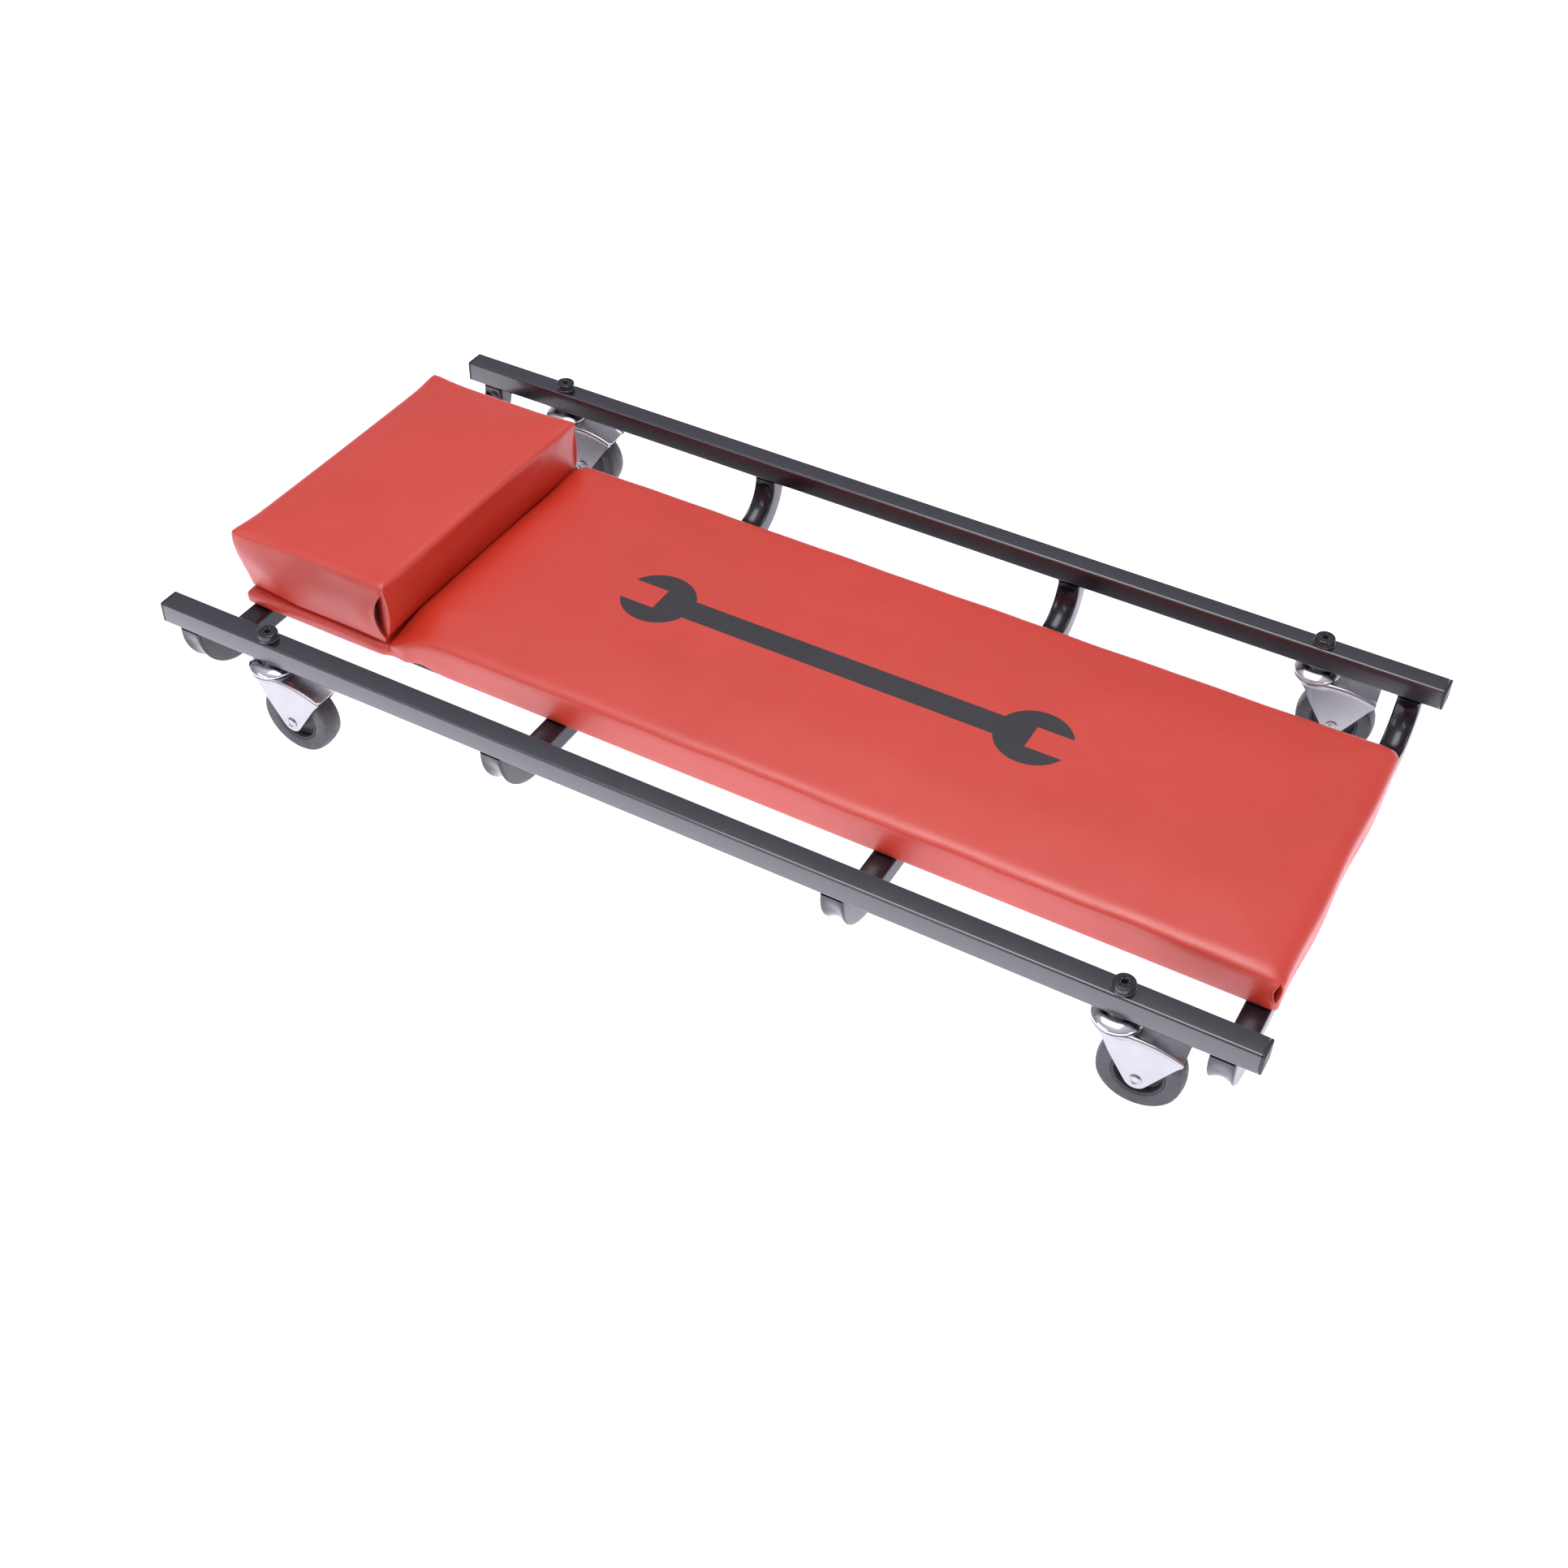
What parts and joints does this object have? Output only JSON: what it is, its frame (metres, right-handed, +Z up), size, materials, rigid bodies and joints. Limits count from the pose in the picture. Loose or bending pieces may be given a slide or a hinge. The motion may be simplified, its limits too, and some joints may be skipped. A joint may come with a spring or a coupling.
{
  "type": "mechanics creeper",
  "caption": "Padded lying board with a head pillow on a welded square-tube frame with swivel casters, for rolling under a vehicle.",
  "frame": {"origin": "on the floor under the middle of the frame", "axes": "+X from head end to foot end, +Y across, +Z up"},
  "size_m": [0.9144, 0.457, 0.1235],
  "materials": {
    "frame_black": "satin black powder coat",
    "cap_black": "moulded black plastic",
    "bolt_black": "black oxide, slightly glossy",
    "polished_steel": "polished bright plating",
    "bright_zinc": "bright zinc plate on stamped sheet",
    "hub_black": "moulded dark plastic",
    "tread_grey": "hard dark-grey rubber, satin",
    "board_dark": "dark board with a woven backing cloth",
    "red_vinyl": "red vinyl over foam, fine leather grain, soft gloss"
  },
  "bodies": {
    "frame": {"left_rail": "frame_black", "right_rail": "frame_black", "cross_member_1": "frame_black", "cross_member_2": "frame_black", "cross_member_3": "frame_black", "cross_member_4": "frame_black", "rail_cap_head_near": "cap_black", "rail_cap_head_far": "cap_black", "rail_cap_foot_near": "cap_black", "rail_cap_foot_far": "cap_black", "bed_board": "board_dark", "bed_pad": "red_vinyl", "head_pillow": "red_vinyl", "board_screw_1": "bolt_black", "board_screw_2": "bolt_black", "board_screw_3": "bolt_black", "board_screw_4": "bolt_black", "board_screw_5": "bolt_black", "board_screw_6": "bolt_black", "stem_bolt_head_near": "bolt_black", "bolt_washer_head_near": "bolt_black", "collar_head_near": "bolt_black", "raceway_head_near": "polished_steel", "kingpin_nut_head_near": "bright_zinc", "stem_bolt_head_far": "bolt_black", "bolt_washer_head_far": "bolt_black", "collar_head_far": "bolt_black", "raceway_head_far": "polished_steel", "kingpin_nut_head_far": "bright_zinc", "stem_bolt_foot_near": "bolt_black", "bolt_washer_foot_near": "bolt_black", "collar_foot_near": "bolt_black", "raceway_foot_near": "polished_steel", "kingpin_nut_foot_near": "bright_zinc", "stem_bolt_foot_far": "bolt_black", "bolt_washer_foot_far": "bolt_black", "collar_foot_far": "bolt_black", "raceway_foot_far": "polished_steel", "kingpin_nut_foot_far": "bright_zinc"},
    "swivel_head_near": {"fork_head_near": "bright_zinc", "ball_ring_head_near": "polished_steel", "axle_rivet_head_near": "bright_zinc"},
    "wheel_head_near": {"wheel_hub_head_near": "hub_black", "tyre_head_near": "tread_grey"},
    "swivel_head_far": {"fork_head_far": "bright_zinc", "ball_ring_head_far": "polished_steel", "axle_rivet_head_far": "bright_zinc"},
    "wheel_head_far": {"wheel_hub_head_far": "hub_black", "tyre_head_far": "tread_grey"},
    "swivel_foot_near": {"fork_foot_near": "bright_zinc", "ball_ring_foot_near": "polished_steel", "axle_rivet_foot_near": "bright_zinc"},
    "wheel_foot_near": {"wheel_hub_foot_near": "hub_black", "tyre_foot_near": "tread_grey"},
    "swivel_foot_far": {"fork_foot_far": "bright_zinc", "ball_ring_foot_far": "polished_steel", "axle_rivet_foot_far": "bright_zinc"},
    "wheel_foot_far": {"wheel_hub_foot_far": "hub_black", "tyre_foot_far": "tread_grey"}
  },
  "joints": [
    {"name": "caster_swivel_head_near", "type": "hinge", "parent": "frame", "child": "swivel_head_near", "pos_m": [-0.356, -0.2075, 0.07], "axis": [0, 0, 1], "continuous": true},
    {"name": "wheel_spin_head_near", "type": "hinge", "parent": "swivel_head_near", "child": "wheel_head_near", "pos_m": [-0.3335, -0.2075, 0.0315], "axis": [0, 1, 0], "continuous": true},
    {"name": "caster_swivel_head_far", "type": "hinge", "parent": "frame", "child": "swivel_head_far", "pos_m": [-0.356, 0.2075, 0.07], "axis": [0, 0, 1], "continuous": true},
    {"name": "wheel_spin_head_far", "type": "hinge", "parent": "swivel_head_far", "child": "wheel_head_far", "pos_m": [-0.33352, 0.20848, 0.0315], "axis": [-0.0436, 0.999, 0], "continuous": true},
    {"name": "caster_swivel_foot_near", "type": "hinge", "parent": "frame", "child": "swivel_foot_near", "pos_m": [0.356, -0.2075, 0.07], "axis": [0, 0, 1], "continuous": true},
    {"name": "wheel_spin_foot_near", "type": "hinge", "parent": "swivel_foot_near", "child": "wheel_foot_near", "pos_m": [0.37847, -0.20632, 0.0315], "axis": [-0.0523, 0.9986, 0], "continuous": true},
    {"name": "caster_swivel_foot_far", "type": "hinge", "parent": "frame", "child": "swivel_foot_far", "pos_m": [0.356, 0.2075, 0.07], "axis": [0, 0, 1], "continuous": true},
    {"name": "wheel_spin_foot_far", "type": "hinge", "parent": "swivel_foot_far", "child": "wheel_foot_far", "pos_m": [0.37838, 0.20985, 0.0315], "axis": [-0.1045, 0.9945, 0], "continuous": true}
  ]
}
